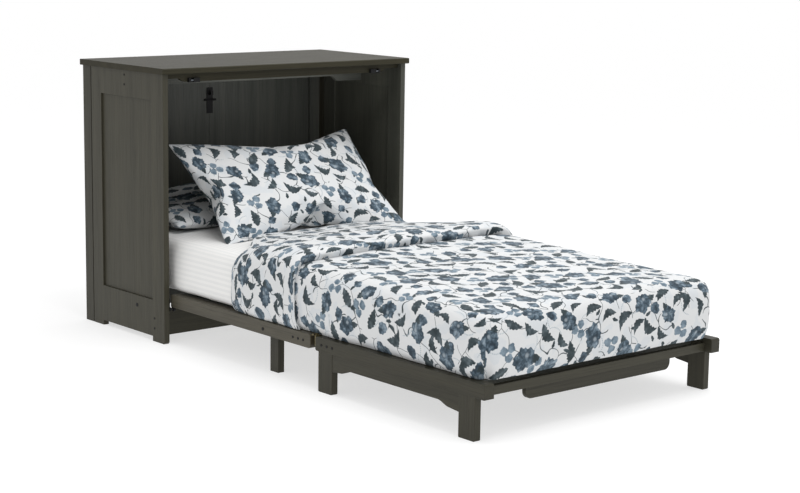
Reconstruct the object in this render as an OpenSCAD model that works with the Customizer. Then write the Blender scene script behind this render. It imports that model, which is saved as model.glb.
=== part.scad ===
/* [Cabinet] */
// Width of the cabinet over its two sides
cab_w = 1154; // [1140:1:1170]
// Depth of the cabinet sides, front to back
cab_d = 560; // [550:1:600]
// Height of the cabinet, floor to the top of the slab
cab_h = 1024; // [1020:1:1040]
// Thickness of the top slab
slab_t = 22; // [18:1:24]
// Thickness of the cabinet side frames
side_t = 22; // [20:1:22]

/* [Platform] */
// Height of the rail tops above the floor
rail_top = 186; // [184:1:188]
// Height of a side rail
rail_h = 48; // [46:1:50]
// Thickness of a side rail
rail_t = 40; // [38:1:40]
// Gap between a cabinet side's outer face and a rail's outer face
rail_inset = 34; // [34:1:40]
// Distance from the front of the cabinet to the folding joint's near edge
mid_reach = 842; // [820:1:842]
// Open gap between the middle and foot rails
fold_gap = 28; // [26:1:30]
// Length of the foot section's side rails
foot_len = 834; // [820:1:834]

/* [Bedding] */
// Thickness of the mattress
mattress_t = 200; // [180:5:200]
// Width of the rail ledge left beside the mattress
ledge = 28; // [25:1:35]
// Thickness of the duvet over the mattress
duvet_t = 22; // [15:1:25]

/* [Hidden] */
$fn = 48;

wood = [0.29, 0.29, 0.26];
wood_dark = [0.17, 0.18, 0.17];
zinc = [0.72, 0.66, 0.45];
steel = [0.72, 0.72, 0.73];
black = [0.06, 0.06, 0.06];
linen = [0.92, 0.92, 0.90];

half_w = cab_w / 2;
inner_x = half_w - side_t;
slab_bottom = cab_h - slab_t;
slab_front = 14;
slab_side = 9;
slab_back = 8;

// side frames
stile_w = 80;
rear_stile_w = 70;
post_w = 55;
groove = 5;
side_rail_low = 19;
side_rail_high = 157;
side_top_rail = 903;
infill_t = 8;
foot_chamfer = 6;

// back
back_t = 6;
back_y = cab_d - 14;
back_low = 20;
back_joint = 0.5;
batten_w = 50;
batten_t = 12;

// rails under the slab
header_y = 22;
board_t = 18;
header_end_drop = 18;
header_drop = 32;
header_shoulder = 56;
stretcher_y = 254;
stretcher_drop = 62;
stretcher_end_drop = 83;
stretcher_shoulder = 120;
ogee_len = 36;

// kick board and head deck
kick_y = 58;
kick_low = 20;
kick_high = 115;
head_deck_y = 130;
head_deck_end = back_y - 20;
cleat_w = 26;
head_rail_t = 20;
slat_w = 60;
slat_t = 20;
slat_places = [260, 400];
deck_t = 6;
deck_low = rail_top - deck_t;
bar_low = rail_top - 40;

// side rails
rail_out = half_w - rail_inset;
rail_in = rail_out - rail_t;
rail_low = rail_top - rail_h;
rail_round = 8;
rail_ease = 1;
mid_start = 8;
mid_end = -mid_reach;
foot_start = mid_end - fold_gap;
foot_end = foot_start - foot_len;
block_proud = 32;
end_rail_y = foot_end + block_proud;
end_rail_t = 20;
end_rail_top = rail_top - 18;
deck_x = rail_in - 0.5;
mid_deck_end = mid_start - 10;
panel_top = rail_low + 12;
bar_w = 40;

// pivots
lift_z = rail_low - 6;
lift_r = 5;
bracket_r = 8;
pin_start = rail_out - 12;
fold_y = mid_end - fold_gap / 2;
fold_z = rail_top + 3;
fold_r = 2;
knuckle_r = 4;
plate_t = 3;
strap_len = 95;
running = 0.1;

// swinging legs
swing_y = -572;
swing_z = 158;
swing_front = 32;
swing_back = 14;
swing_t = 26;
swing_gap = 3;
swing_x = rail_in - swing_gap - swing_t;
swing_pin_r = 4;
bumper_z = 45;
bumper_t = 4;

// foot section legs and aprons
leg_w = 73;
leg_t = 25;
near_leg_y = foot_start - 18;
end_leg_y = foot_end + 114;
apron_low = 99;
lobe_low = 79;
lobe_len = 100;
apron_t = 20;
end_apron_w = 668;
end_apron_low = 102;
end_apron_r = 24;

// bolts
bolt_r = 4.5;
bolt_head = 1.2;
lock_y = 188;
lock_z = 120;
bolt_z = 161;
bolt_pitch = 29;
mid_bolt_y = -745;
foot_bolt_y = -903;

// bedding
soft_gap = 2;
bed_x = rail_out - ledge;
bed_top = rail_top + mattress_t;
head_end = back_y - 40;
mattress_end = end_rail_y + 10;
duvet_start = -215;
duvet_end = foot_end + 12;
duvet_low = rail_top + 8;
pillow_w = 880;
pillow_h = 430;
front_pillow_t = 150;
rear_pillow_t = 130;

// Centres the whole model, front to back, on the origin
frame_y = -(foot_end + cab_d + slab_back) / 2;

// Moves a piece from the cabinet-front frame to the model frame
module in_frame() {
    translate([0, frame_y, 0]) children();
}

// A box between two corners
module block(low, high) {
    translate(low) cube(high - low);
}

// Repeats a piece for one side: s is -1 for left and 1 for right
module on_side(s) {
    if (s < 0) mirror([1, 0, 0]) children();
    else children();
}

// Makes a piece on both sides
module both_sides() {
    on_side(-1) children();
    on_side(1) children();
}

// Extrudes an outline drawn in Y and Z along X, from x0 to x1
module along_x(x0, x1) {
    translate([x0, 0, 0]) rotate([90, 0, 90]) linear_extrude(x1 - x0) children();
}

// Extrudes an outline drawn in X and Z along Y, from y0 to y1
module along_y(y0, y1) {
    translate([0, y1, 0]) rotate([90, 0, 0]) linear_extrude(y1 - y0) children();
}

// A round bar along X
module bar_x(x0, x1, y, z, r) {
    translate([x0, y, z]) rotate([0, 90, 0]) cylinder(h = x1 - x0, r = r);
}

// Points of an S-shaped step from one height to another
function ogee(x0, z0, x1, z1, steps = 10) = [
    for (i = [0:steps]) [x0 + (x1 - x0) * i / steps, z0 + (z1 - z0) * (1 - cos(180 * i / steps)) / 2]];

// A board under the slab, deeper or shallower at its two ends
module shaped_board(y, drop, end_drop, shoulder) {
    shoulder_x = inner_x - shoulder;
    flat_x = shoulder_x - ogee_len;
    end_z = slab_bottom - end_drop;
    mid_z = slab_bottom - drop;
    along_y(y, y + board_t) polygon(concat(
        [[inner_x, slab_bottom], [-inner_x, slab_bottom], [-inner_x, end_z]],
        ogee(-shoulder_x, end_z, -flat_x, mid_z),
        ogee(flat_x, mid_z, shoulder_x, end_z),
        [[inner_x, end_z]]));
}

// ---- cabinet ----

module top_slab() {
    edge = 3;
    front = -slab_front;
    back = cab_d + slab_back;
    color(wood) in_frame() along_x(-half_w - slab_side, half_w + slab_side) polygon([
        [front, slab_bottom + edge], [front + edge, slab_bottom], [back, slab_bottom],
        [back, cab_h], [front + edge, cab_h], [front, cab_h - edge]]);
}

// One side: two stiles joined by a bottom and a top rail, open in the middle
module side_frame(s) {
    rear = cab_d - post_w - groove;
    opening_end = rear - rear_stile_w;
    color(wood) in_frame() on_side(s) difference() {
        along_x(inner_x, half_w) polygon([
            [foot_chamfer, 0], [0, foot_chamfer], [0, slab_bottom], [rear, slab_bottom], [rear, 0]]);
        block([inner_x - 1, stile_w, side_rail_high], [half_w + 1, opening_end, side_top_rail]);
        block([inner_x - 1, stile_w, -1], [half_w + 1, opening_end, side_rail_low]);
    }
}
module side_frame_left() side_frame(-1);
module side_frame_right() side_frame(1);

// The flat board that fills a side frame
module side_infill(s) {
    rear = cab_d - post_w - groove - rear_stile_w;
    mid = (inner_x + half_w) / 2;
    color(wood) in_frame() on_side(s)
        block([mid - infill_t / 2, stile_w, side_rail_high], [mid + infill_t / 2, rear, side_top_rail]);
}
module side_infill_left() side_infill(-1);
module side_infill_right() side_infill(1);

module back_post(s) {
    color(wood) in_frame() on_side(s)
        block([inner_x, cab_d - post_w, 0], [half_w, cab_d, slab_bottom]);
}
module back_post_left() back_post(-1);
module back_post_right() back_post(1);

// Half of the back, from the centre joint to one side
module back_panel(s) {
    color(wood_dark) in_frame() on_side(s) block([back_joint, back_y, back_low],
        [inner_x - back_joint, back_y + back_t, slab_bottom - back_joint]);
}
module back_panel_left() back_panel(-1);
module back_panel_right() back_panel(1);

module back_battens() {
    color(wood_dark) in_frame() both_sides()
        block([inner_x - batten_w, back_y - batten_t, back_low], [inner_x, back_y, slab_bottom]);
}

module header_rail() {
    color(wood_dark) in_frame() shaped_board(header_y, header_drop, header_end_drop, header_shoulder);
}

module upper_stretcher() {
    color(wood_dark) in_frame()
        shaped_board(stretcher_y, stretcher_drop, stretcher_end_drop, stretcher_shoulder);
}

module kick_board() {
    color(wood) in_frame()
        block([-inner_x, kick_y, kick_low], [inner_x, kick_y + board_t, kick_high]);
}

module head_cleats() {
    color(wood_dark) in_frame() both_sides()
        block([inner_x - cleat_w, head_deck_y, bar_low], [inner_x, head_deck_end, deck_low]);
}

module head_front_rail() {
    reach = inner_x - cleat_w;
    color(wood_dark) in_frame()
        block([-reach, head_deck_y, bar_low], [reach, head_deck_y + head_rail_t, deck_low]);
}

module head_slats() {
    reach = inner_x - cleat_w;
    color(wood_dark) in_frame() for (y = slat_places)
        block([-reach, y, deck_low - slat_t], [reach, y + slat_w, deck_low]);
}

module head_deck() {
    color(wood_dark) in_frame()
        block([-inner_x + 1, head_deck_y, deck_low], [inner_x - 1, head_deck_end, rail_top]);
}

// Place of the two catches, from the cabinet's middle to their outer ends
catch_x = half_w - 122;
catch_w = 47;
catch_h = 16;
catch_t = 12;
catch_low = slab_bottom - header_drop - 2;
roller_r = 4;
roller_start = catch_x - 20;
roller_end = catch_x - 8;

// Black catches screwed to the front of the header
module roller_catches() {
    front = header_y - catch_t;
    top = catch_low + catch_h;
    color(black) in_frame() both_sides() difference() {
        block([catch_x - catch_w, front, catch_low], [catch_x, header_y, top]);
        block([roller_start, front - 1, catch_low - 1], [roller_end, header_y - 2, top + 1]);
    }
}

// The roller and its pin in each catch
module catch_rollers() {
    y = header_y - catch_t + roller_r + 1;
    color(steel) in_frame() both_sides()
        bar_x(roller_start, roller_end, y, catch_low + catch_h / 2, roller_r);
}

// Black steel plate high on the middle of the back, with a pin and a hook
module back_bracket() {
    plate_w = 28;
    plate_h = 105;
    top_z = 890;
    pin_z = top_z - 50;
    pin_reach = plate_w / 2 + 12;
    hook_w = 12;
    hook_low = top_z - 30;
    hook_high = top_z - 24;
    hook_tip = top_z - 12;
    front = back_y - plate_t;
    hook_y = front - 16;
    color(black) in_frame() {
        block([-plate_w / 2, front, top_z - plate_h], [plate_w / 2, back_y, top_z]);
        bar_x(-pin_reach, pin_reach, front - 3, pin_z, 4);
        block([-hook_w / 2, hook_y, hook_low], [hook_w / 2, front, hook_high]);
        block([-hook_w / 2, hook_y, hook_high], [hook_w / 2, hook_y + 5, hook_tip]);
    }
}

// Bolt heads on the outer faces of the sides, each with its y, z and radius
module side_bolts() {
    stretcher_mid = stretcher_y + board_t / 2;
    kick_mid = kick_y + board_t / 2;
    small = 4;
    large = 7;
    places = [
        [stretcher_mid, slab_bottom - 18, small], [stretcher_mid, slab_bottom - 54, small],
        [kick_mid, kick_high - 27, small], [kick_mid, kick_low + 30, small],
        [lock_y, lock_z, large]];
    color(steel) in_frame() both_sides() for (p = places)
        bar_x(half_w, half_w + bolt_head, p[0], p[1], p[2]);
}

// Steel plates on the inner faces of the sides that carry the lift pivots
module pivot_brackets() {
    color(black) in_frame() both_sides() difference() {
        union() {
            block([inner_x - plate_t, 0, lift_z - bracket_r], [inner_x, 54, lift_z + 40]);
            bar_x(inner_x - plate_t, inner_x, 0, lift_z, bracket_r);
        }
        bar_x(inner_x - plate_t - 1, inner_x + 1, 0, lift_z, lift_r);
    }
}

// The pins that the whole platform turns on as it lifts
module pivot_pins() {
    color(steel) in_frame() both_sides() bar_x(pin_start, inner_x, 0, lift_z, lift_r);
}

// ---- middle section ----

module middle_rail(s) {
    color(wood) in_frame() on_side(s) difference() {
        along_x(rail_in, rail_out) rail_outline(mid_end, mid_start, rail_round, rail_ease);
        bar_x(rail_in - 1, rail_out + 1, swing_y, swing_z, swing_pin_r);
    }
}

// A quarter circle of points about a centre, starting at an angle
function quarter(y, z, r, start) = [for (a = [start:15:start + 90]) [y + r * cos(a), z + r * sin(a)]];

// Side view of a rail: rounded at the top, and below to r0 at its foot end and r1 at its head end
module rail_outline(y0, y1, r0, r1) {
    r = rail_round;
    polygon(concat(
        quarter(y1 - r, rail_top - r, r, 0), quarter(y0 + r, rail_top - r, r, 90),
        quarter(y0 + r0, rail_low + r0, r0, 180), quarter(y1 - r1, rail_low + r1, r1, 270)));
}
module middle_rail_left() middle_rail(-1);
module middle_rail_right() middle_rail(1);

module middle_crossbars() {
    color(wood_dark) in_frame() for (y = [mid_end + strap_len + 5, -340, mid_deck_end - bar_w])
        block([-rail_in, y, panel_top], [rail_in, y + bar_w, deck_low]);
}

module middle_deck() {
    color(wood_dark) in_frame()
        block([-deck_x, mid_end, deck_low], [deck_x, mid_deck_end, rail_top]);
}

// The cabinet's front when it is closed; it has a slot at each side for a leg
module front_panel() {
    slot_x = rail_in - swing_t - 2 * swing_gap;
    slot_start = swing_y - swing_front - 12;
    slot_end = swing_y + swing_z + 12;
    color(wood) in_frame() difference() {
        block([-deck_x, mid_end, rail_low], [deck_x, mid_deck_end, panel_top]);
        both_sides() block([slot_x, slot_start, rail_low - 1], [rail_in + 1, slot_end, panel_top + 1]);
    }
}

// Steel shoes under the rails' ends, each with a tab that turns on a lift pin
module pivot_arms() {
    tab_out = rail_out - 4;
    tab_in = tab_out - 6;
    tab_r = 10;
    shoe_start = -60;
    end = mid_start - 2;
    color(black) in_frame() both_sides() difference() {
        union() {
            block([rail_in + 2, shoe_start, rail_low - plate_t], [rail_out - 2, end, rail_low]);
            block([tab_in, -tab_r, lift_z], [tab_out, end, rail_low]);
            bar_x(tab_in, tab_out, 0, lift_z, tab_r);
        }
        bar_x(pin_start - 1, rail_out, 0, lift_z, lift_r + running);
        block([tab_in - 1, -tab_r - 1, rail_low], [tab_out + 1, tab_r + 1, rail_low + tab_r]);
    }
}

// The knuckles of a fold hinge lie side by side over the rail, clear of the mattress
knuckle_x = rail_in + 13;
knuckle_w = 8.5;
knuckle_pitch = 8.8;

// A fold hinge's leaf, drawn for the middle rail: strap, end plate, and knuckles on bridges
module hinge_leaf(places) {
    bridge_low = fold_z - knuckle_r;
    bridge_high = fold_z - 1;
    strap_low = rail_low + 14;
    strap_high = rail_low + 34;
    plate_high = rail_top - 8;
    plate_in = rail_in - plate_t;
    plate_out = rail_out - 1;
    plate_y = mid_end - plate_t;
    color(zinc) in_frame() both_sides() difference() {
        union() {
            block([plate_in, plate_y, strap_low], [rail_in, mid_end + strap_len, strap_high]);
            block([plate_in, plate_y, strap_low], [plate_out, mid_end, plate_high]);
            block([knuckle_x, plate_y, plate_high], [plate_out, mid_end, bridge_high]);
            for (i = places) {
                x = knuckle_x + i * knuckle_pitch;
                block([x, fold_y, bridge_low], [x + knuckle_w, mid_end, bridge_high]);
                bar_x(x, x + knuckle_w, fold_y, fold_z, knuckle_r);
            }
        }
        bar_x(rail_in, rail_out, fold_y, fold_z, fold_r + running);
    }
}

// Turns a piece drawn for the middle section end for end about the fold gap
module mirrored_fold() {
    translate([0, fold_y + frame_y, 0]) mirror([0, 1, 0]) translate([0, -fold_y - frame_y, 0]) children();
}
module middle_hinge_leaves() hinge_leaf([0, 2]);
module foot_hinge_leaves() mirrored_fold() hinge_leaf([1]);

module fold_hinge_pins() {
    reach = 2 * knuckle_pitch + knuckle_w;
    color(steel) in_frame() both_sides() bar_x(knuckle_x, knuckle_x + reach, fold_y, fold_z, fold_r);
}

// Three bolt heads in a row on each rail, one row each side of the fold gap
module rail_bolts(first_y) {
    color(steel) in_frame() both_sides() for (i = [0:2])
        bar_x(rail_out, rail_out + bolt_head, first_y - i * bolt_pitch, bolt_z, bolt_r);
}
module middle_bolts() rail_bolts(mid_bolt_y);
module foot_bolts() rail_bolts(foot_bolt_y);

module leg_pins() {
    color(steel) in_frame() both_sides() {
        bar_x(swing_x - 3, rail_out, swing_y, swing_z, swing_pin_r);
        bar_x(rail_out, rail_out + bolt_head, swing_y, swing_z, swing_pin_r + 2);
    }
}

// ---- swinging legs ----

module swing_leg(s) {
    top = swing_z + swing_back;
    color(wood) in_frame() on_side(s) difference() {
        along_x(swing_x, swing_x + swing_t) polygon(concat(
            [[swing_y - swing_front, 0], [swing_y + swing_back, 0]],
            [for (a = [0:15:90]) [swing_y + swing_back * cos(a), swing_z + swing_back * sin(a)]],
            [[swing_y - swing_front + 8, top], [swing_y - swing_front, top - 8]]));
        bar_x(swing_x - 1, swing_x + swing_t + 1, swing_y, swing_z, swing_pin_r + running);
    }
}
module swing_leg_left() swing_leg(-1);
module swing_leg_right() swing_leg(1);

// A rubber stop on the leg's inner edge, which meets the deck when the leg is folded
module bumper(s) {
    y = swing_y + swing_back;
    color(black) in_frame() on_side(s) translate([swing_x + swing_t / 2, y, bumper_z])
        rotate([-90, 0, 0]) cylinder(h = bumper_t, r1 = 8, r2 = 6);
}
module bumper_left() bumper(-1);
module bumper_right() bumper(1);

// ---- foot section ----

module foot_rail(s) {
    color(wood) in_frame() on_side(s) along_x(rail_in, rail_out)
        rail_outline(foot_end, foot_start, rail_ease, rail_round);
}
module foot_rail_left() foot_rail(-1);
module foot_rail_right() foot_rail(1);

module foot_end_rail() {
    color(wood) in_frame() block([-rail_in, end_rail_y, rail_low + 1],
        [rail_in, end_rail_y + end_rail_t, end_rail_top]);
}

module foot_crossbars() {
    color(wood_dark) in_frame() for (y = [foot_start - strap_len - 5 - bar_w, -1250, end_rail_y + 60])
        block([-rail_in, y, panel_top], [rail_in, y + bar_w, deck_low]);
}

module foot_deck() {
    color(wood_dark) in_frame()
        block([-deck_x, end_rail_y + end_rail_t, deck_low], [deck_x, foot_start, rail_top]);
}

// The board under a side rail, hanging lower beside each leg
module side_apron(s) {
    a = end_leg_y;
    b = near_leg_y - leg_w;
    lip = 45;
    color(wood) in_frame() on_side(s) along_x(rail_out - 1 - apron_t, rail_out - 1) polygon(concat(
        [[b, rail_low], [a, rail_low], [a, lobe_low]],
        ogee(a + lip, lobe_low + 5, a + lobe_len, apron_low),
        ogee(b - lobe_len, apron_low, b - lip, lobe_low + 5),
        [[b, lobe_low]]));
}
module side_apron_left() side_apron(-1);
module side_apron_right() side_apron(1);

module end_apron() {
    w = end_apron_w / 2;
    r = end_apron_r;
    color(wood) in_frame() along_y(end_rail_y + 4, end_rail_y + end_rail_t) polygon(concat(
        [[w, rail_low + 1], [-w, rail_low + 1]],
        [for (a = [180:15:270]) [-w + r + r * cos(a), end_apron_low + r + r * sin(a)]],
        [for (a = [270:15:360]) [w - r + r * cos(a), end_apron_low + r + r * sin(a)]]));
}

// A fixed leg of the foot section, with its bottom edges eased
module fixed_leg(s, y) {
    ease = 3;
    color(wood) in_frame() on_side(s) along_x(rail_out - leg_t, rail_out) polygon([
        [y - leg_w + ease, 0], [y - ease, 0], [y, ease], [y, rail_low],
        [y - leg_w, rail_low], [y - leg_w, ease]]);
}
module near_leg_left() fixed_leg(-1, near_leg_y);
module near_leg_right() fixed_leg(1, near_leg_y);
module end_leg_left() fixed_leg(-1, end_leg_y);
module end_leg_right() fixed_leg(1, end_leg_y);

// ---- bedding ----

module mattress_part(y0, y1) {
    color(linen) in_frame() block([-bed_x, y0, rail_top + soft_gap], [bed_x, y1, bed_top]);
}
module mattress_head() mattress_part(-1, head_end);
module mattress_middle() mattress_part(fold_y + 1, -3);
module mattress_foot() mattress_part(mattress_end, fold_y - 1);

// Duvet shell over the mattress: a top and two hanging sides
module duvet_part(y0, y1) {
    out = bed_x + soft_gap + duvet_t;
    top = bed_top + soft_gap + duvet_t;
    block([-out, y0, duvet_low], [out, y1, top]);
}

module duvet_middle() {
    inner = bed_x + soft_gap;
    color(linen) in_frame() difference() {
        duvet_part(fold_y + 1, duvet_start);
        block([-inner, fold_y - 1, 0], [inner, duvet_start + 1, bed_top + soft_gap]);
    }
}

module duvet_foot() {
    inner = bed_x + soft_gap;
    color(linen) in_frame() difference() {
        duvet_part(duvet_end, fold_y - 1);
        block([-inner, mattress_end - soft_gap, 0], [inner, fold_y, bed_top + soft_gap]);
    }
}

// A pillow: thick in the middle and thin at its edges
module pillow(centre, tilt, t) {
    edge_t = 30;
    slope_w = 90;
    slope_h = 75;
    color(linen) in_frame() translate(centre) rotate([tilt, 0, 0]) hull() {
        cube([pillow_w, pillow_h, edge_t], center = true);
        cube([pillow_w - 2 * slope_w, pillow_h - 2 * slope_h, t], center = true);
    }
}
module pillow_front() pillow([20, 35, 562], 46, front_pillow_t);
module pillow_rear() pillow([-20, 325, 467], 5, rear_pillow_t);

top_slab();
side_frame_left();
side_frame_right();
side_infill_left();
side_infill_right();
back_post_left();
back_post_right();
back_panel_left();
back_panel_right();
back_battens();
header_rail();
upper_stretcher();
kick_board();
head_cleats();
head_front_rail();
head_slats();
head_deck();
roller_catches();
catch_rollers();
back_bracket();
side_bolts();
pivot_brackets();
pivot_pins();
middle_rail_left();
middle_rail_right();
middle_crossbars();
middle_deck();
front_panel();
pivot_arms();
middle_hinge_leaves();
fold_hinge_pins();
middle_bolts();
leg_pins();
swing_leg_left();
swing_leg_right();
bumper_left();
bumper_right();
foot_rail_left();
foot_rail_right();
foot_end_rail();
foot_crossbars();
foot_deck();
side_apron_left();
side_apron_right();
end_apron();
near_leg_left();
near_leg_right();
end_leg_left();
end_leg_right();
foot_hinge_leaves();
foot_bolts();
mattress_head();
mattress_middle();
mattress_foot();
duvet_middle();
duvet_foot();
pillow_front();
pillow_rear();
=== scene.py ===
"""A cabinet fold-out bed: wood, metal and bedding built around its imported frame. Blender 4.5, metres."""
import math

import bmesh
import bpy
import numpy as np
from mathutils import Matrix, Vector, noise


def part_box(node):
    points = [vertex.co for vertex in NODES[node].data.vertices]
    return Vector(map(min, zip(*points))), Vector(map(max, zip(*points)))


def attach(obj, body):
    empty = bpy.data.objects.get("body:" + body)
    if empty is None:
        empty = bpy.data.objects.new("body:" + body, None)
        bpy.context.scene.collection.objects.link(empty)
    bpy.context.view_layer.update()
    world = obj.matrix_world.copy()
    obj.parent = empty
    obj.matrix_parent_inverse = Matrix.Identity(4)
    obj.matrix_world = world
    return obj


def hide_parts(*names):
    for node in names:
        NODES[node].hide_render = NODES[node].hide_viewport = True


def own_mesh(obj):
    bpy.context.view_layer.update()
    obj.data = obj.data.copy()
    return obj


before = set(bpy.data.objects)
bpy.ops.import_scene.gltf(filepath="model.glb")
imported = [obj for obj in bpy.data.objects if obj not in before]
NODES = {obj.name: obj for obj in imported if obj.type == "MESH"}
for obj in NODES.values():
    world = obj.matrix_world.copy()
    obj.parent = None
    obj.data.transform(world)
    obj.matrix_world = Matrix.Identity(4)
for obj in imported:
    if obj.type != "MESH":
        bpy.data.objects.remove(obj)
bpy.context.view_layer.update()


# ---- places taken from the frame ----

def low(node):
    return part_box(node)[0]


def high(node):
    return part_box(node)[1]


# ---- camera, light and floor ----

def make_camera():
    yaw = math.radians(40.39)
    pitch = math.radians(9.91)
    roll = math.radians(0.87)
    focal_mm = 82.0
    place = Vector((-4.196, -5.027, 1.538))
    forward = Vector((math.sin(yaw) * math.cos(pitch), math.cos(yaw) * math.cos(pitch), -math.sin(pitch)))
    right = Vector((math.cos(yaw), -math.sin(yaw), 0))
    up = right.cross(forward)
    right, up = (
        math.cos(roll) * right + math.sin(roll) * up,
        -math.sin(roll) * right + math.cos(roll) * up,
    )
    data = bpy.data.cameras.new("camera")
    data.lens = focal_mm
    data.sensor_width = 36
    data.clip_end = 200
    camera = bpy.data.objects.new("camera", data)
    turn = Matrix((right, up, -forward)).transposed().to_4x4()
    camera.matrix_world = Matrix.Translation(place) @ turn
    bpy.context.scene.collection.objects.link(camera)
    bpy.context.scene.camera = camera


def area_light(name, place, aim, size, power):
    data = bpy.data.lights.new(name, "AREA")
    data.shape = "RECTANGLE"
    data.size, data.size_y = size
    data.energy = power
    lamp = bpy.data.objects.new(name, data)
    lamp.location = place
    lamp.rotation_euler = (Vector(aim) - Vector(place)).to_track_quat("-Z", "Y").to_euler()
    bpy.context.scene.collection.objects.link(lamp)


def make_light():
    world = bpy.data.worlds.new("studio")
    world.use_nodes = True
    background = world.node_tree.nodes["Background"]
    background.inputs["Color"].default_value = (1, 1, 1, 1)
    background.inputs["Strength"].default_value = 0.86
    bpy.context.scene.world = world
    bpy.context.scene.view_settings.view_transform = "Standard"
    area_light("key", (-0.3, -1.5, 4.4), (0, -0.2, 0.3), (2.2, 1.8), 62)
    area_light("overhead", (1.4, 0.2, 3.4), (0, -0.4, 0), (2.5, 2.5), 35)
    area_light("fill", (-1.6, -5.0, 1.5), (0, 0.6, 0.8), (1.6, 1.2), 7)
    area_light("inner_fill", (0.12, 0.66, 0.86), (0.12, 1.01, 1.22), (0.7, 0.15), 0.5)


def make_floor():
    mesh = bpy.data.meshes.new("floor")
    reach = 90
    corners = [(-reach, -reach, 0), (reach, -reach, 0), (reach, reach, 0), (-reach, reach, 0)]
    mesh.from_pydata(corners, [], [(0, 1, 2, 3)])
    floor = bpy.data.objects.new("floor", mesh)
    bpy.context.scene.collection.objects.link(floor)
    material = bpy.data.materials.new("floor")
    material.use_nodes = True
    shader = material.node_tree.nodes["Principled BSDF"]
    shader.inputs["Base Color"].default_value = (0.42, 0.42, 0.42, 1)
    shader.inputs["Emission Color"].default_value = (1, 1, 1, 1)
    shader.inputs["Emission Strength"].default_value = 0.62
    shader.inputs["Roughness"].default_value = 0.9
    shader.inputs["Specular IOR Level"].default_value = 0.1
    mesh.materials.append(material)


# ---- node helpers ----

class Graph:
    """A material's node tree, with short calls that add nodes and link them."""

    def __init__(self, name):
        self.material = bpy.data.materials.new(name)
        self.material.use_nodes = True
        self.nodes = self.material.node_tree.nodes
        self.links = self.material.node_tree.links
        self.shader = self.nodes["Principled BSDF"]

    def add(self, kind, inputs=None, **settings):
        node = self.nodes.new(kind)
        for key, value in settings.items():
            setattr(node, key, value)
        for key, value in (inputs or {}).items():
            self.put(node.inputs[key], value)
        return node

    def put(self, socket, value):
        if isinstance(value, bpy.types.NodeSocket):
            self.links.new(value, socket)
        else:
            socket.default_value = value

    def math(self, operation, a, b=0.0, clamp=False):
        node = self.add("ShaderNodeMath", {0: a, 1: b}, operation=operation, use_clamp=clamp)
        return node.outputs[0]

    def vector(self, operation, a, b=(0, 0, 0)):
        node = self.add("ShaderNodeVectorMath", {0: a, 1: b}, operation=operation)
        return node.outputs[0]

    def mix(self, factor, a, b, blend="MIX"):
        node = self.add("ShaderNodeMix", data_type="RGBA", blend_type=blend)
        self.put(node.inputs["Factor"], factor)
        self.put(node.inputs["A"], a)
        self.put(node.inputs["B"], b)
        return node.outputs["Result"]

    def ramp(self, value, stops):
        node = self.add("ShaderNodeValToRGB", {"Fac": value})
        ramp = node.color_ramp
        while len(ramp.elements) < len(stops):
            ramp.elements.new(0.5)
        for element, (place, color) in zip(ramp.elements, stops):
            element.position = place
            element.color = color
        return node.outputs["Color"]

    def smooth(self, value, start, end, low=0.0, high=1.0):
        node = self.add("ShaderNodeMapRange", {"Value": value, "From Min": start, "From Max": end,
                                               "To Min": low, "To Max": high},
                        interpolation_type="SMOOTHSTEP")
        return node.outputs["Result"]

    def bump(self, height, distance, strength=1.0, normal=None):
        node = self.add("ShaderNodeBump", {"Height": height, "Distance": distance, "Strength": strength})
        if normal is not None:
            self.put(node.inputs["Normal"], normal)
        return node.outputs["Normal"]


# ---- hard materials ----

def grain_space(graph, along):
    """Object coordinates turned so that the grain runs along the first axis."""
    object_space = graph.add("ShaderNodeTexCoord").outputs["Object"]
    parts = graph.add("ShaderNodeSeparateXYZ", {0: object_space}).outputs
    order = {"x": (0, 1, 2), "y": (1, 0, 2), "z": (2, 0, 1)}[along]
    return graph.add("ShaderNodeCombineXYZ", {k: parts[i] for k, i in enumerate(order)}).outputs[0]


def wood(name, along, tone, gloss=0.2):
    """Stained hardwood: long fine pores and slow colour bands along the grain, edges a little rounded."""
    pores_per_metre = (5.0, 420.0, 420.0)
    bands_per_metre = (0.9, 26.0, 26.0)
    g = Graph(name)
    space = grain_space(g, along)
    wander = g.add("ShaderNodeTexNoise", {"Vector": space, "Scale": 2.2, "Detail": 2.0}).outputs["Color"]
    bent = g.vector("ADD", space, g.vector("MULTIPLY", wander, (0.0, 0.012, 0.012)))
    pores_at = g.vector("MULTIPLY", bent, pores_per_metre)
    pores = g.add("ShaderNodeTexNoise", {"Vector": pores_at, "Scale": 1.0, "Detail": 3.0,
                                         "Roughness": 0.7}).outputs["Fac"]
    bands_at = g.vector("MULTIPLY", bent, bands_per_metre)
    bands = g.add("ShaderNodeTexNoise", {"Vector": bands_at, "Scale": 1.0, "Detail": 4.0,
                                         "Roughness": 0.6}).outputs["Fac"]
    dark = tuple(c * 0.80 for c in tone) + (1,)
    mid = tuple(tone) + (1,)
    pale = (tone[0] * 1.20, tone[1] * 1.18, tone[2] * 1.14, 1)
    base = g.ramp(bands, [(0.28, dark), (0.5, mid), (0.75, pale)])
    pore_dark = g.smooth(pores, 0.36, 0.5, 0.72, 1.0)
    tint = g.add("ShaderNodeCombineColor", {0: pore_dark, 1: pore_dark, 2: pore_dark}).outputs[0]
    colour = g.mix(1.0, base, tint, "MULTIPLY")
    rounded = g.add("ShaderNodeBevel", {"Radius": 0.0016}, samples=4).outputs["Normal"]
    g.put(g.shader.inputs["Base Color"], colour)
    g.put(g.shader.inputs["Roughness"], g.smooth(pores, 0.3, 0.7, 0.5, 0.4))
    g.put(g.shader.inputs["Normal"], g.bump(pores, 0.0004, 0.5, rounded))
    g.shader.inputs["Specular IOR Level"].default_value = gloss
    g.shader.inputs["Coat Weight"].default_value = 0.03
    g.shader.inputs["Coat Roughness"].default_value = 0.35
    return g.material


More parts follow.
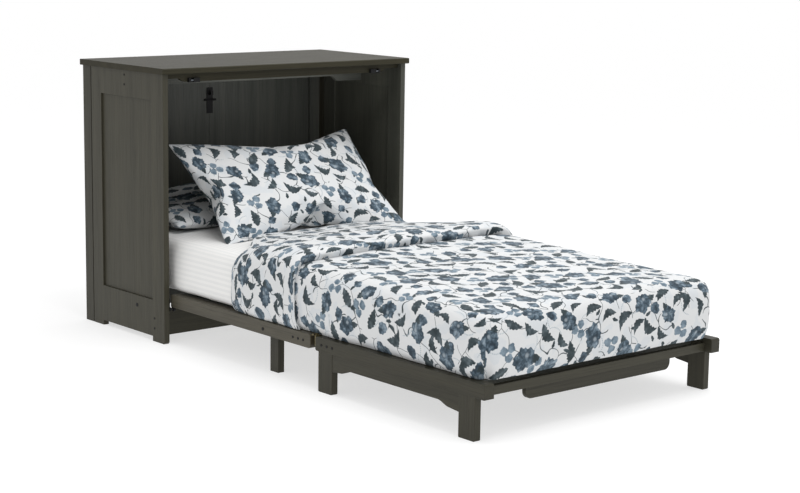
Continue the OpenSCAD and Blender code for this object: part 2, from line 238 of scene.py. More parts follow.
def metal(name, colour, roughness, patchy=0.08):
    """Plated or brushed metal with faint mottling and fine scratches that run upright."""
    scratches_per_metre = (900.0, 900.0, 60.0)
    g = Graph(name)
    space = g.add("ShaderNodeTexCoord").outputs["Object"]
    cloud = g.add("ShaderNodeTexNoise", {"Vector": space, "Scale": 90.0, "Detail": 4.0}).outputs["Fac"]
    scratch_at = g.vector("MULTIPLY", space, scratches_per_metre)
    scratch = g.add("ShaderNodeTexNoise", {"Vector": scratch_at, "Scale": 1.0, "Detail": 2.0}).outputs["Fac"]
    pale = tuple(min(1, c * (1 + patchy)) for c in colour) + (1,)
    dark = tuple(c * (1 - 2 * patchy) for c in colour) + (1,)
    g.put(g.shader.inputs["Base Color"], g.ramp(cloud, [(0.35, dark), (0.65, pale)]))
    g.put(g.shader.inputs["Roughness"], g.smooth(scratch, 0.3, 0.7, roughness, roughness + 0.14))
    g.put(g.shader.inputs["Normal"], g.bump(scratch, 0.00005, 0.6))
    g.shader.inputs["Metallic"].default_value = 1.0
    return g.material


def satin_black(name, roughness=0.5):
    """Powder-coated steel, or rubber where it is rougher."""
    g = Graph(name)
    space = g.add("ShaderNodeTexCoord").outputs["Object"]
    speck = g.add("ShaderNodeTexNoise", {"Vector": space, "Scale": 700.0, "Detail": 2.0}).outputs["Fac"]
    g.put(g.shader.inputs["Base Color"], g.ramp(speck, [(0.3, (0.008, 0.008, 0.008, 1)),
                                                      (0.7, (0.02, 0.02, 0.021, 1))]))
    g.put(g.shader.inputs["Normal"], g.bump(speck, 0.0001, 0.5))
    g.shader.inputs["Roughness"].default_value = roughness
    g.shader.inputs["Specular IOR Level"].default_value = 0.12
    return g.material


def pairs(*bases):
    """The left and right node of each base name."""
    return [f"{base}_{side}" for base in bases for side in ("left", "right")]


def dress_frame():
    """Gives every CAD node that stays its finish, with the grain along the node's main direction. The slab
    and header take the darkest tone, which on the header is painted shade. A darker copy of the stain on the
    legs, back posts, aprons and foot rails is painted shade, and a paler copy on the middle section's rails
    is painted light. A paler grey inside the cabinet and on its right side is painted light too; the decks
    share that grey."""
    stain = (0.047, 0.044, 0.030)
    # painted shade: a darker copy of the stain, for the legs, back posts, aprons and foot rails
    deep = [0.80 * c for c in stain]
    # the darkest tone, on the slab; on the header rail it is painted shade from the slab's overhang
    top = (0.035, 0.032, 0.020)
    # painted light: a paler copy of the stain, for the middle section's rails
    pale = (0.077, 0.070, 0.052)
    # painted light: a paler grey for the cabinet's right side, whose inner face stands in the cabinet's
    # shade
    right_side_painted_light = (0.058, 0.059, 0.048)
    # painted light: a paler grey that stands in for light inside the cabinet; the decks, slats and crossbars
    # share it
    inside_painted_light = (0.072, 0.075, 0.066)
    finishes = (
        (wood("stained_wood_upright", "z", stain), ["side_frame_left", "side_infill_left"]),
        (wood("stained_wood_across", "x", stain), ["kick_board", "front_panel", "foot_end_rail"]),
        # painted shade on the header rail: it takes the slab's darkest tone
        (wood("darkest_wood_with_header_shade", "x", top, 0.08), ["top_slab", "header_rail"]),
        (wood("wood_with_painted_shade_upright", "z", deep), pairs("back_post", "swing_leg", "near_leg", "end_leg")),
        (wood("wood_with_painted_shade_across", "x", deep), ["end_apron"]),
        (wood("wood_with_painted_shade_lengthwise", "y", deep), pairs("foot_rail", "side_apron")),
        (wood("wood_with_painted_light_lengthwise", "y", pale), pairs("middle_rail")),
        (wood("right_side_wood_with_painted_light", "z", right_side_painted_light), ["side_frame_right", "side_infill_right"]),
        (wood("inside_wood_with_painted_light_upright", "z", inside_painted_light), ["back_battens"] + pairs("back_panel")),
        (wood("inside_wood_with_painted_light_across", "x", inside_painted_light), [
            "upper_stretcher", "head_cleats", "head_front_rail", "head_slats", "head_deck",
            "middle_crossbars", "middle_deck", "foot_crossbars", "foot_deck",
        ]),
        (metal("yellow_zinc", (0.30, 0.25, 0.13), 0.4), ["foot_hinge_leaves", "fold_hinge_pins"]),
        # painted shade: the middle hinge leaves are darkened for the shade in the fold gap
        (metal("zinc_with_painted_gap_shade", (0.10, 0.085, 0.055), 0.5), ["middle_hinge_leaves"]),
        (metal("bolt_steel", (0.17, 0.18, 0.20), 0.34), ["catch_rollers"]),
        (satin_black("black_steel"), [
            "roller_catches", "back_bracket", "side_bolts", "pivot_brackets", "pivot_pins", "pivot_arms",
            "middle_bolts", "foot_bolts", "leg_pins",
        ]),
        (satin_black("rubber", 0.8), pairs("bumper")),
    )
    for material, nodes in finishes:
        for node in nodes:
            mesh = NODES[node].data
            mesh.materials.clear()
            mesh.materials.append(material)


# ---- fabrics ----

def turned(g, space, angle):
    return g.add("ShaderNodeVectorRotate", {"Vector": space, "Angle": angle},
                 rotation_type="Z_AXIS").outputs[0]


def scatter(g, space, cell, shift, spread):
    """Strews one motif place per cell: returns x and y from the place's centre, turned at random, and three
    random values."""
    scaled = g.vector("ADD", g.vector("DIVIDE", space, (cell, cell, 1.0)), shift)
    cells = g.add("ShaderNodeTexVoronoi", {"Vector": scaled, "Scale": 1.0, "Randomness": spread},
                  voronoi_dimensions="2D", feature="F1").outputs
    local = g.vector("MULTIPLY", g.vector("SUBTRACT", scaled, cells["Position"]), (cell, cell, 0.0))
    chance = g.add("ShaderNodeSeparateColor", {0: cells["Color"]}).outputs
    angle = g.math("MULTIPLY", chance[0], 2 * math.pi)
    x, y, _ = g.add("ShaderNodeSeparateXYZ", {0: turned(g, local, angle)}).outputs
    return x, y, chance


def length_of(g, x, y):
    return g.math("SQRT", g.math("ADD", g.math("MULTIPLY", x, x), g.math("MULTIPLY", y, y)))


def inside(g, size, distance, soft=0.0012):
    """1 where the distance is less than the size, with a soft edge."""
    return g.smooth(g.math("SUBTRACT", size, distance), -soft / 2, soft / 2)


def blossom(g, x, y, radius, lobes, ragged):
    """A round flower with a lobed, ragged edge."""
    angle = g.math("ARCTAN2", y, x)
    wave = g.math("MULTIPLY", g.math("SINE", g.math("MULTIPLY", angle, lobes)), radius * 0.10)
    fine = g.math("MULTIPLY", g.math("SINE", g.math("MULTIPLY", angle, lobes * 2.6)), radius * 0.05)
    edge = g.math("ADD", g.math("ADD", wave, fine), g.math("MULTIPLY", ragged, radius * 0.32))
    squashed = g.math("MULTIPLY", y, 1.22)
    return inside(g, g.math("ADD", edge, radius), length_of(g, x, squashed))


def leaf(g, x, y, length, width, bend, ragged):
    """A bent leaf, pointed at both ends, with a toothed edge."""
    curved = g.math("ADD", y, g.math("MULTIPLY", g.math("MULTIPLY", x, x), bend))
    share = g.math("DIVIDE", x, length / 2)
    body = g.math("SUBTRACT", 1.0, g.math("MULTIPLY", share, share), clamp=True)
    skew = g.math("ADD", 1.0, g.math("MULTIPLY", share, 0.35))
    teeth = g.math("MULTIPLY", g.math("ABSOLUTE", g.math("SINE", g.math("MULTIPLY", x, 290.0))), 0.30)
    wide = g.math("MULTIPLY", g.math("MULTIPLY", body, skew), width / 2)
    rough = g.math("ADD", teeth, g.math("MULTIPLY", ragged, 0.5))
    wide = g.math("MULTIPLY", wide, g.math("ADD", 0.9, rough))
    return inside(g, g.math("SUBTRACT", wide, 0.0006), g.math("ABSOLUTE", curved))


def trio(g, x, y, reach, radius, ragged):
    """Three round petals about one point."""
    nearest = None
    for k in range(3):
        turn = 2 * math.pi * k / 3 + 0.4
        dx = g.math("SUBTRACT", x, reach * math.cos(turn))
        dy = g.math("SUBTRACT", y, reach * math.sin(turn))
        distance = length_of(g, dx, dy)
        nearest = distance if nearest is None else g.math("MINIMUM", nearest, distance)
    return inside(g, g.math("ADD", radius, g.math("MULTIPLY", ragged, radius)), nearest)


def print_noise(g, space, scale, detail=2.0, roughness=0.5):
    return g.add("ShaderNodeTexNoise", {"Vector": space, "Scale": scale, "Detail": detail,
                                        "Roughness": roughness}, noise_dimensions="2D").outputs


def dotted_sprig(g, x, y):
    """A short bowed row of dots."""
    bow = 16.0
    half_width, half_length = 0.0017, 0.024
    dot_frequency = 1250.0
    arc = g.math("ADD", y, g.math("MULTIPLY", g.math("MULTIPLY", x, x), bow))
    dots = g.math("GREATER_THAN", g.math("SINE", g.math("MULTIPLY", x, dot_frequency)), -0.1)
    row = g.math("MULTIPLY", inside(g, half_width, g.math("ABSOLUTE", arc)),
                 inside(g, half_length, g.math("ABSOLUTE", x)))
    return g.math("MULTIPLY", row, dots)


def stems(g, space, slant):
    """Thin lines that sway between the motifs and break off here and there."""
    mesh_size = 0.085
    sway = g.vector("SUBTRACT", print_noise(g, space, 13.0, 1.0)["Color"], (0.5, 0.5, 0.5))
    bent = g.vector("ADD", slant, g.vector("MULTIPLY", sway, (0.08, 0.08, 0)))
    net_at = g.vector("DIVIDE", bent, (mesh_size, mesh_size, 1.0))
    net = g.add("ShaderNodeTexVoronoi", {"Vector": net_at, "Scale": 1.0},
                voronoi_dimensions="2D", feature="DISTANCE_TO_EDGE").outputs["Distance"]
    broken = g.smooth(print_noise(g, space, 16.0)["Fac"], 0.44, 0.48)
    return g.math("MULTIPLY", g.smooth(net, 0.010, 0.020, 1.0, 0.0), broken)


def printed_inks(g, space):
    """The inks for flowers, for leaves and for petals, each washed darker and lighter."""
    wash = print_noise(g, space, 40.0, 4.0, 0.6)["Fac"]
    ink = g.ramp(wash, [(0.34, (0.026, 0.041, 0.056, 1)), (0.48, (0.056, 0.086, 0.113, 1)),
                        (0.58, (0.120, 0.168, 0.212, 1)), (0.72, (0.26, 0.32, 0.37, 1))])
    leaf_ink = g.ramp(wash, [(0.34, (0.024, 0.036, 0.041, 1)), (0.55, (0.048, 0.067, 0.076, 1)),
                             (0.75, (0.12, 0.15, 0.165, 1))])
    pale_ink = g.ramp(wash, [(0.35, (0.095, 0.140, 0.180, 1)), (0.65, (0.22, 0.285, 0.34, 1))])
    return ink, leaf_ink, pale_ink


def kept(g, motif, chance, test, limit):
    """The motif, kept only in the cells whose random value passes the test."""
    return g.math("MULTIPLY", motif, g.math(test, chance, limit))


def floral_print(g, space):
    """The printed cotton's colour: blue-grey flowers, leaves, buds, thin stems and dotted sprigs on
    off-white. One slanted grid carries everything: flowers on its corners, other motifs between them."""
    cell = 0.122
    jitter = 0.28
    space = g.vector("MULTIPLY", space, (0.82, 0.82, 1.0))
    slant = turned(g, space, 0.42)
    ragged = g.math("SUBTRACT", print_noise(g, space, 85.0)["Fac"], 0.5)
    ink, leaf_ink, pale_ink = printed_inks(g, space)

    ground = (0.655, 0.664, 0.668, 1)
    shaded_ground = (0.575, 0.61, 0.64, 1)
    shade = g.smooth(print_noise(g, space, 19.0, 1.5)["Fac"], 0.55, 0.60, 0.0, 0.55)
    colour = g.mix(shade, ground, shaded_ground)
    colour = g.mix(stems(g, space, slant), colour, leaf_ink)

    # dotted sprigs and small leaves, on a grid half as wide
    x, y, chance = scatter(g, slant, cell * 0.5, (0.25, 0.25, 0), 0.6)
    sprig = kept(g, dotted_sprig(g, x, y), chance[1], "LESS_THAN", 0.4)
    small = kept(g, leaf(g, x, y, 0.026, 0.010, 9.0, ragged), chance[1], "GREATER_THAN", 0.45)
    colour = g.mix(sprig, colour, (0.36, 0.42, 0.46, 1))
    colour = g.mix(small, colour, leaf_ink)

    # petals or a bud halfway along one side of each square of the grid
    x, y, chance = scatter(g, slant, cell, (0.5, 0.0, 0), jitter)
    petals = kept(g, trio(g, x, y, 0.0150, 0.0122, ragged), chance[1], "LESS_THAN", 0.55)
    buds = kept(g, blossom(g, x, y, 0.019, 3.0, ragged), chance[1], "GREATER_THAN", 0.55)
    colour = g.mix(petals, colour, pale_ink)
    colour = g.mix(buds, colour, ink)

    # a bud or a narrow leaf halfway along the other side
    x, y, chance = scatter(g, slant, cell, (0.0, 0.5, 0), jitter)
    buds = kept(g, blossom(g, x, y, 0.018, 4.0, ragged), chance[1], "LESS_THAN", 0.45)
    leaves = kept(g, leaf(g, x, y, 0.056, 0.021, 20.0, ragged), chance[1], "GREATER_THAN", 0.45)
    colour = g.mix(buds, colour, ink)
    colour = g.mix(leaves, colour, leaf_ink)

    # curled leaves in the middle of each square
    x, y, chance = scatter(g, slant, cell, (0.5, 0.5, 0), jitter)
    curl = g.math("MULTIPLY", g.math("SUBTRACT", chance[1], 0.2), 36.0)
    colour = g.mix(leaf(g, x, y, 0.068, 0.027, curl, ragged), colour, leaf_ink)

    # large flowers on the corners, each of its own size
    x, y, chance = scatter(g, slant, cell, (0.0, 0.0, 0), jitter)
    size = g.math("ADD", 0.66, g.math("MULTIPLY", chance[2], 0.34))
    x = g.math("DIVIDE", x, size)
    y = g.math("DIVIDE", y, size)
    return large_flower(g, colour, x, y, ragged, ink, leaf_ink)


def large_flower(g, colour, x, y, ragged, ink, leaf_ink):
    """A ragged head over one leaf, with petals drawn in it and a pale spot, laid over the colour."""
    drawn_ink = (0.020, 0.032, 0.044, 1)
    spot_ink = (0.42, 0.47, 0.51, 1)
    behind = leaf(g, g.math("SUBTRACT", x, 0.018), g.math("ADD", y, 0.012), 0.078, 0.028, 9.0, ragged)
    colour = g.mix(behind, colour, leaf_ink)
    spoke = g.math("SINE", g.math("ADD", g.math("MULTIPLY", g.math("ARCTAN2", y, x), 6.0),
                                  g.math("MULTIPLY", length_of(g, x, y), 130.0)))
    drawn = g.math("MULTIPLY", g.smooth(spoke, 0.55, 0.95), 0.5)
    head = blossom(g, x, y, 0.037, 5.0, ragged)
    colour = g.mix(head, colour, g.mix(drawn, ink, drawn_ink))
    spot_distance = length_of(g, g.math("SUBTRACT", x, 0.012), g.math("SUBTRACT", y, 0.006))
    spot = g.math("MULTIPLY", inside(g, 0.006, spot_distance, 0.008), 0.55)
    return g.mix(g.math("MULTIPLY", spot, head), colour, spot_ink)


def cloth_surface(g, colour, space, sheen):
    """The finish that every fabric shares: a fine weave, small soft creases and a light sheen."""
    threads_per_metre = 1600.0
    weave_at = g.vector("MULTIPLY", space, (threads_per_metre,) * 3)
    weave = g.add("ShaderNodeTexNoise", {"Vector": weave_at, "Scale": 1.0, "Detail": 1.0}).outputs["Fac"]
    crease = g.add("ShaderNodeTexNoise", {"Vector": space, "Scale": 22.0, "Detail": 3.0,
                                          "Roughness": 0.55, "Distortion": 0.6}).outputs["Fac"]
    creased = g.bump(crease, 0.006, 0.28)
    g.put(g.shader.inputs["Base Color"], colour)
    g.put(g.shader.inputs["Normal"], g.bump(weave, 0.0003, 0.25, creased))
    g.shader.inputs["Roughness"].default_value = 0.82
    g.shader.inputs["Specular IOR Level"].default_value = 0.25
    g.shader.inputs["Sheen Weight"].default_value = sheen
    g.shader.inputs["Sheen Roughness"].default_value = 0.4
    return g.material


def printed_cotton():
    g = Graph("printed_cotton")
    space = g.add("ShaderNodeUVMap", uv_map="cloth").outputs[0]
    return cloth_surface(g, floral_print(g, space), space, 0.12)


def striped_sheet():
    """White sateen sheet with narrow woven stripes, a little glossier than the ground between them."""
    g = Graph("striped_sheet")
    space = g.add("ShaderNodeUVMap", uv_map="cloth").outputs[0]
    across = g.add("ShaderNodeSeparateXYZ", {0: space}).outputs[0]
    stripe_pitch = 0.019
    wave = g.math("SINE", g.math("MULTIPLY", across, 2 * math.pi / stripe_pitch))
    stripe = g.smooth(wave, -0.15, 0.15)
    colour = g.mix(stripe, (0.765, 0.765, 0.755, 1), (0.82, 0.815, 0.80, 1))
    material = cloth_surface(g, colour, space, 0.15)
    g.put(g.shader.inputs["Roughness"], g.smooth(stripe, 0.0, 1.0, 0.78, 0.5))
    return material


# ---- soft shapes ----

FAR = 10.0


def cloth_piece(name, verts, faces, coords, material):
    """A mesh object from lists, with its flat cloth coordinates per face corner."""
    mesh = bpy.data.meshes.new(name)
    mesh.from_pydata(verts, [], faces)
    layer = mesh.uv_layers.new(name="cloth")
    layer.data.foreach_set("uv", np.array(coords, np.float32).ravel())
    mesh.materials.append(material)
    mesh.shade_smooth()
    mesh.validate()
    piece = bpy.data.objects.new(name, mesh)
    bpy.context.scene.collection.objects.link(piece)
    return piece


def apply_modifiers(piece):
    depsgraph = bpy.context.evaluated_depsgraph_get()
    depsgraph.update()
    done = bpy.data.meshes.new_from_object(piece.evaluated_get(depsgraph))
    old = piece.data
    name = old.name
    piece.modifiers.clear()
    piece.data = done
    bpy.data.meshes.remove(old)
    done.name = name


def subdivide(piece):
    smooth = piece.modifiers.new("smooth", "SUBSURF")
    smooth.levels = smooth.render_levels = 1
    apply_modifiers(piece)


def steps(start, end, pitch):
    """Evenly spaced places from start to end, about one pitch apart."""
    count = max(2, int(round(abs(end - start) / pitch)) + 1)
    return list(np.linspace(start, end, count))


class Box:
    """A box in metres that knows which of its sides are drawn and which of its edges are rounded. An open
    end in Y, or an open bottom, has no rounded edge."""

    def __init__(self, lowest, highest, radius, sides, pitch, open_y=(False, False), open_z=False):
        self.lowest = Vector(lowest)
        self.highest = Vector(highest)
        self.radius = radius
        self.sides = sides
        self.grid = [steps(lowest[k], highest[k], pitch) for k in range(3)]
        self.core_low = Vector([c + radius for c in lowest])
        self.core_high = Vector([c - radius for c in highest])
        if open_y[0]:
            self.core_low.y = -FAR
        if open_y[1]:
            self.core_high.y = FAR
        if open_z:
            self.core_low.z = -FAR

    def rounded(self, p):
        """The point moved onto the rounded box, and the outward direction there."""
        core = Vector([min(max(p[k], self.core_low[k]), self.core_high[k]) for k in range(3)])
        out = p - core
        if out.length < 1e-9:
            return p, Vector((0, 0, 0))
        out.normalize()
        return core + out * self.radius, out

    def unrolled(self, side, p):
        """Flat cloth coordinates of a point on one side, unfolded from the top."""
        down = self.highest.z - p.z
        if side == "left":
            return (self.lowest.x - down, p.y)
        if side == "right":
            return (self.highest.x + down, p.y)
        if side == "foot":
            return (p.x, self.lowest.y - down)
        if side == "head":
            return (p.x, self.highest.y + down)
        return (p.x, p.y)

    def build(self, shape):
        """Vertices, faces and cloth coordinates. shape moves each point: it is given the rounded point, the
        outward direction there and the point of the grid."""
        xs, ys, zs = self.grid
        last = (len(xs) - 1, len(ys) - 1, len(zs) - 1)
        flat = {
            "top": (0, 1, 2, last[2], False), "bottom": (0, 1, 2, 0, True),
            "left": (1, 2, 0, 0, True), "right": (1, 2, 0, last[0], False),
            "foot": (2, 0, 1, 0, True), "head": (2, 0, 1, last[1], False),
        }
        index, verts, faces, coords = {}, [], [], []

        def corner(key):
            if key not in index:
                p = Vector((xs[key[0]], ys[key[1]], zs[key[2]]))
                moved, out = self.rounded(p)
                index[key] = len(verts)
                verts.append(shape(moved, out, p))
            return index[key]

        for side in self.sides:
            a, b, c, at, flip = flat[side]
            for i in range(last[a]):
                for j in range(last[b]):
                    keys = []
                    for di, dj in ((0, 0), (1, 0), (1, 1), (0, 1)):
                        key = [0, 0, 0]
                        key[a], key[b], key[c] = i + di, j + dj, at
                        keys.append(tuple(key))
                    if flip:
                        keys.reverse()
                    faces.append([corner(k) for k in keys])
                    coords += [self.unrolled(side, Vector((xs[k[0]], ys[k[1]], zs[k[2]]))) for k in keys]
        return verts, faces, coords


def ripple(p, scale, seed=0.0):
    """Smooth noise between -1 and 1 at a point, with features about 1/scale metres wide."""
    return noise.noise(Vector((p[0] * scale + seed, p[1] * scale, p[2] * scale)))


def ease(value, start, end):
    """0 before the start, 1 after the end, and smooth between them."""
    t = min(max((value - start) / (end - start), 0.0), 1.0)
    return t * t * (3 - 2 * t)


def cut_apart(piece, cuts, names):
    """Splits a finished mesh at planes of constant y, keeping its smooth normals across each cut. The
    pieces come back in order from the lowest y."""

    def place(v):
        return tuple(round(c, 6) for c in v.co)

    work = bmesh.new()
    work.from_mesh(piece.data)
    for y in cuts:
        geometry = work.verts[:] + work.edges[:] + work.faces[:]
        bmesh.ops.bisect_plane(work, geom=geometry, plane_co=(0, y, 0), plane_no=(0, 1, 0), dist=1e-5)
    work.normal_update()
    bounds = [-FAR] + sorted(cuts) + [FAR]
    pieces = []
    for name, start, end in zip(names, bounds, bounds[1:]):
        part = work.copy()
        outside = [f for f in part.faces if not start < f.calc_center_median().y < end]
        normals = {place(v): v.normal.copy() for v in part.verts}
        bmesh.ops.delete(part, geom=outside, context="FACES")
        mesh = bpy.data.meshes.new(name)
        part.to_mesh(mesh)
        part.free()
        mesh.materials.append(piece.data.materials[0])
        mesh.shade_smooth()
        mesh.normals_split_custom_set_from_vertices([normals[place(v)] for v in mesh.vertices])
        made = bpy.data.objects.new(name, mesh)
        bpy.context.scene.collection.objects.link(made)
        pieces.append(made)
    work.free()
    bpy.data.objects.remove(piece)
    return pieces


# ---- mattress ----

DECK_TOP = high("middle_deck").z
BED_HALF = high("mattress_middle").x
BED_TOP = high("mattress_middle").z
HINGE_Y = (low("mattress_middle").y + high("mattress_foot").y) / 2
HEAD_SEAM = (low("mattress_head").y + high("mattress_middle").y) / 2


def make_mattress(sheet):
    """The tri-fold mattress under its fitted sheet, one piece for each part of the bed."""
    parts = (
        ("mattress_sheet_foot", "mattress_foot", low("mattress_foot").y, HINGE_Y, "foot_section"),
        ("mattress_sheet_middle", "mattress_middle", HINGE_Y, HEAD_SEAM, "middle_section"),
        ("mattress_sheet_head", "mattress_head", HEAD_SEAM, high("mattress_head").y, "cabinet"),
    )
    edge = 0.038
    pitch = 0.016
    side_belly, bare_belly, skirt, hinge_inset = 0.006, 0.006, 0.009, 0.004
    for name, node, start, end, body in parts:
        first, last = body == "foot_section", body == "cabinet"
        box = Box((-BED_HALF, start, DECK_TOP + 0.003), (BED_HALF, end, BED_TOP), edge,
                  ("top", "bottom", "left", "right", "foot", "head"), pitch, open_y=(not first, not last))

        # The sides belly out, more where no duvet hangs over them, and draw in beside the fold hinge.
        def shape(p, out, _):
            height = min(max((p.z - DECK_TOP) / (BED_TOP - DECK_TOP), 0), 1)
            clear = ease(abs(p.y - HINGE_Y), 0.02, 0.06)
            bare = ease(p.y, 0.10, 0.18)
            swell = side_belly + bare_belly * bare
            belly = swell * math.sin(math.pi * height ** (1 - 0.35 * bare)) * abs(out.x)
            belly += skirt * bare * (1 - ease(height, 0.0, 0.3)) * abs(out.x)
            sideways = belly * clear - hinge_inset * (1 - clear)
            if out.x <= 0:
                sideways = -sideways if out.x else 0
            pull = 0.0022 * ripple(p, 9.0) + 0.0012 * ripple(p, 26.0, 4.0)
            return p + Vector((sideways, 0, 0)) + out * pull

        verts, faces, coords = box.build(shape)
        piece = cloth_piece(name, verts, faces, coords, sheet)
        piece.data.set_sharp_from_angle(angle=math.radians(60))
        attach(piece, body)
        if last:
            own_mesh(piece)
        else:
            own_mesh(piece)
        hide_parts(node)


# ---- duvet ----

DUVET_HALF = high("duvet_middle").x - 0.007
WIDEST = low("side_frame_right").x - 0.003
DUVET_TOP = high("duvet_middle").z
DUVET_LOW = low("duvet_middle").z - 0.006
DUVET_FOOT = low("duvet_foot").y
FRONT_PLANE = high("middle_deck").y - 0.002
FOLD_EDGE_Y = HINGE_Y + 0.096
BODY_END = FOLD_EDGE_Y + 0.22
DUVET_R = 0.062


def narrowed(p):
    """The point brought in, softly, to the width that fits between the cabinet's sides."""
    knee = 0.012
    over = abs(p.x) - (WIDEST - knee)
    if over > 0:
        p.x = math.copysign(WIDEST - knee + knee * math.tanh(over / knee), p.x)
    return p


def hang(p, out, grid_point):
    """Moves a point of the draped duvet: a low crown on top that falls towards the foot, folds that deepen
    down the sides, a crease at each foot corner, and a tucked hem."""
    fold_depth, side_belly, hem_tuck = 0.0045, 0.006, 0.016
    crease_angle, crease_width, crease_depth = 45, 13, 0.020
    bulge_angle, bulge_width, bulge_depth = 78, 14, 0.007
    crown_height, foot_fall = 0.007, 0.018
    height = (grid_point.z - DUVET_LOW) / (DUVET_TOP - DUVET_LOW)
    side = 1 - abs(out.z)
    flat = Vector((out.x, out.y, 0))
    along = p.y if abs(out.x) > abs(out.y) else p.x
    fold = 0.5 * math.sin(along * 17.0 + 3.0 * ripple(p, 2.0)) + ripple((along, 0.2 * p.z, 0), 9.0, 2.0)
    move = fold_depth * fold * side * (1.15 - height)
    move += side_belly * math.sin(math.pi * min(max(height, 0), 1)) * side
    if abs(out.x) > 0.05 and out.y < -0.05:
        turn = math.degrees(math.atan2(-out.y, abs(out.x)))
        crease = math.exp(-((turn - crease_angle) / crease_width) ** 2)
        bulge = math.exp(-((turn - bulge_angle) / bulge_width) ** 2)
        move -= crease_depth * crease * side * (1 - 0.8 * height)
        move += bulge_depth * bulge * side * (1 - 0.6 * height)
    hem = 1 - min(height / 0.16, 1.0)
    move -= hem_tuck * hem * hem * side
    moved = p + flat * move
    across = abs(p.x) / DUVET_HALF
    top = max(out.z, 0)
    crown = crown_height * (1 - across ** 3)
    moved.z += top * (crown + 0.0065 * ripple(p, 3.1, 6.0) + 0.0028 * ripple(p, 9.0, 1.0))
    moved.z += top * 0.0016 * ripple((p.x * 1.6, p.y * 0.7, 0), 21.0, 8.0)
    moved.z -= top * foot_fall * min(max((FOLD_EDGE_Y - p.y) / 0.9, 0), 1)
    return narrowed(moved)


def make_duvet(cotton):
    """The duvet over the mattress, and its head end folded back on itself, cut where the platform folds."""
    box = Box((-DUVET_HALF, DUVET_FOOT, DUVET_LOW), (DUVET_HALF, BODY_END, DUVET_TOP), DUVET_R,
              ("top", "left", "right", "foot"), 0.024, open_y=(False, True), open_z=True)

    def body_shape(p, out, grid_point):
        moved = hang(p, out, grid_point)
        buried = ease(grid_point.y, FOLD_EDGE_Y + 0.05, FOLD_EDGE_Y + 0.13)
        return moved - out * 0.016 * buried

    verts, faces, coords = box.build(body_shape)
    whole = cloth_piece("duvet", verts, faces, coords, cotton)
    subdivide(whole)
    foot_end, middle = cut_apart(whole, [HINGE_Y], ["duvet_foot_end", "duvet_body"])
    settle(foot_end, "foot_section")
    settle(middle, "middle_section")
    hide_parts("duvet_foot")
    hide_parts("duvet_middle")
    settle(make_turnback(cotton), "middle_section")


def settle(piece, body):
    """What every duvet piece shares: it rides on its body and gets a mesh of its own."""
    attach(piece, body)
    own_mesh(piece)


def make_turnback(cotton):
    """The head end of the duvet, folded back towards the foot as a soft double layer. It starts on a box one
    unit deep, whose low end becomes the free edge and whose high end the fold at the head."""
    box = Box((-DUVET_HALF, -0.5, DUVET_LOW), (DUVET_HALF, 0.5, DUVET_TOP), DUVET_R,
              ("top", "left", "right"), 0.022, open_y=(True, True), open_z=True)
    thick, thin = 0.040, 0.014
    middle_gap, side_gap = 0.142, 0.250
    free_gap, free_slant = 0.022, 0.033
    lip, seam = 0.016, 0.004

    def shape(p, out, grid_point):
        share = grid_point.y + 0.5
        reach = abs(p.x) / DUVET_HALF
        drop = DUVET_TOP - p.z
        head = FRONT_PLANE - middle_gap - side_gap * ease(reach, 0.42, 1.0) + 0.03 * drop / 0.2
        head += 0.010 * ripple((p.x, 0, p.z), 5.0, 3.0)
        slant = free_gap + free_slant * (p.x / DUVET_HALF + 1)
        free = FOLD_EDGE_Y + slant + 0.012 * ripple((p.x, 0, p.z), 2.6, 9.0) - 0.05 * drop
        y = free + (head - free) * (0.5 - 0.5 * math.cos(math.pi * share)) ** 0.9
        at = Vector((p.x, y, p.z))
        probe = Vector((grid_point.x, y, grid_point.z))
        moved = hang(at, out, probe)
        edge = abs(2 * share - 1)
        puff = (1 - edge ** 5) ** 0.45
        loft = thick + (thin - thick) * ease(share, 0.1, 0.9)
        lift = loft * puff * (1 + 0.25 * ripple(at, 6.0, 5.0)) - seam * (1 - puff)
        if drop > 0.1:
            lift *= 0.62
        if share < 0.5:
            moved.y -= lip * math.sin(math.pi * min(max(lift / loft, 0), 1))
        moved.z -= max(out.z, 0) * (DUVET_TOP - BED_TOP - seam) * ease(y, BODY_END - 0.04, head)
        return narrowed(moved + out * lift)

    verts, faces, coords = box.build(shape)
    cloth_length = 0.62
    print_shift = (0.31, 1.7)
    coords = [(u + print_shift[0], v * cloth_length + print_shift[1]) for u, v in coords]
    piece = cloth_piece("duvet_turnback", verts, faces, coords, cotton)
    subdivide(piece)
    return piece


# ---- pillows ----

def inflate(piece, frames, pressure):
    """Swells a closed envelope with the cloth solver and applies the result."""
    scene = bpy.context.scene
    cloth = piece.modifiers.new("cloth", "CLOTH")
    settings = cloth.settings
    settings.quality = 6
    settings.mass = 0.25
    settings.tension_stiffness = 30
    settings.compression_stiffness = 30
    settings.shear_stiffness = 20
    settings.bending_stiffness = 12
    settings.air_damping = 3
    settings.use_pressure = True
    settings.uniform_pressure_force = pressure
    settings.effector_weights.gravity = 0
    cloth.collision_settings.use_collision = False
    cloth.point_cache.frame_start = 1
    cloth.point_cache.frame_end = frames
    for frame_number in range(1, frames + 1):
        scene.frame_set(frame_number)
        bpy.context.evaluated_depsgraph_get().update()
    apply_modifiers(piece)
    scene.frame_set(1)


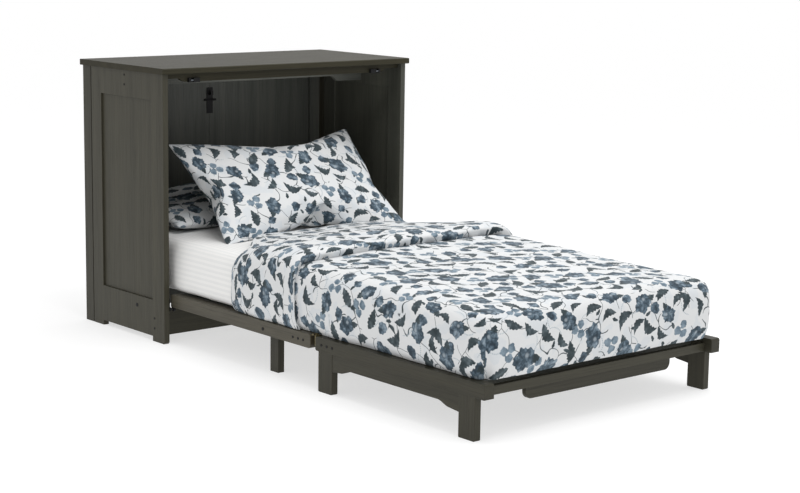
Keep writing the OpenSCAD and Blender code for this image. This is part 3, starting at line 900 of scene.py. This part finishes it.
def envelope(name, width, height, pitch, material, shift):
    """Two panels sewn together at their edges, lying in X and Y about the origin. The edges bow inwards, so
    the corners stand out."""
    bow_x, bow_y = 0.018, 0.017
    half_gap = 0.004
    nx = int(width / pitch)
    ny = int(height / pitch)
    verts, faces, coords, index = [], [], [], {}

    def corner(i, j, face):
        on_edge = i in (0, nx) or j in (0, ny)
        key = (i, j, 0 if on_edge else face)
        if key not in index:
            index[key] = len(verts)
            x = width * (i / nx - 0.5)
            y = height * (j / ny - 0.5)
            x_in = 1 if i < nx / 2 else -1
            y_in = 1 if j < ny / 2 else -1
            x += bow_x * math.sin(math.pi * j / ny) * x_in * abs(2 * i / nx - 1) ** 4
            y += bow_y * math.sin(math.pi * i / nx) * y_in * abs(2 * j / ny - 1) ** 4
            verts.append((x, y, 0 if on_edge else face * half_gap))
        return index[key]

    for face in (1, -1):
        for i in range(nx):
            for j in range(ny):
                places = [(i, j), (i + 1, j), (i + 1, j + 1), (i, j + 1)]
                if face < 0:
                    places.reverse()
                faces.append([corner(a, b, face) for a, b in places])
                coords += [(width * a / nx + shift[0], height * b / ny * face + shift[1])
                           for a, b in places]
    return cloth_piece(name, verts, faces, coords, material)


def sculpt_pillow(piece, thickness):
    """The stuffed shape that the cloth solver starts from."""
    fullness = 2.6
    half = [max(abs(v.co[k]) for v in piece.data.vertices) for k in (0, 1)]
    for v in piece.data.vertices:
        a = 1 - abs(v.co.x / half[0]) ** fullness
        b = 1 - abs(v.co.y / half[1]) ** fullness
        v.co.z = math.copysign(thickness / 2 * max(a * b, 0) ** 0.5, v.co.z) if v.co.z else 0


def make_pillow(name, node, cotton, width, height, thickness, tilt, sag, sink, forward, shift):
    """A pillow inflated flat, then leaned back, with its lower edge settled on the bed."""
    pitch = 0.016
    start_share = 0.85
    press_height, press_depth, press_reach = 0.014, 0.018, 0.030
    piece = envelope(name, width, height, pitch, cotton, shift)
    sculpt_pillow(piece, start_share * thickness)
    inflate(piece, frames=16, pressure=4.0)
    swell = thickness / max(v.co.z * 2 for v in piece.data.vertices)
    middle = (low(node) + high(node)) / 2
    settled = high("mattress_head").z + press_height
    lean = Matrix.Rotation(math.radians(tilt), 3, "X")
    for v in piece.data.vertices:
        p = v.co.copy()
        p.z *= swell
        up = p.y / height
        p.z -= sag * (0.25 - up * up) * 0.6
        p.z += 0.010 * ripple(p, 5.0, 3.0) * (1 - abs(2 * up)) + 0.004 * ripple(p, 13.0, 7.0)
        v.co = middle + lean @ p - Vector((0, forward, sink))
    for v in piece.data.vertices:
        if v.co.z < settled:
            v.co.z = settled - press_depth * math.tanh((settled - v.co.z) / press_reach)
    subdivide(piece)
    piece.data.shade_smooth()
    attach(piece, "cabinet")
    low("back_battens").y - 0.01
    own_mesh(piece)
    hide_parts(node)


# ---- the scene ----

make_camera()
make_light()
make_floor()
dress_frame()
cotton = printed_cotton()
make_mattress(striped_sheet())
make_duvet(cotton)
make_pillow("front_pillow", "pillow_front", cotton, width=0.92, height=0.56, thickness=0.155,
            tilt=42, sag=0.04, sink=0.017, forward=0.018, shift=(0.0, 3.0))
make_pillow("rear_pillow", "pillow_rear", cotton, width=0.90, height=0.47, thickness=0.165,
            tilt=5, sag=0.0, sink=0.029, forward=0, shift=(2.0, 5.0))
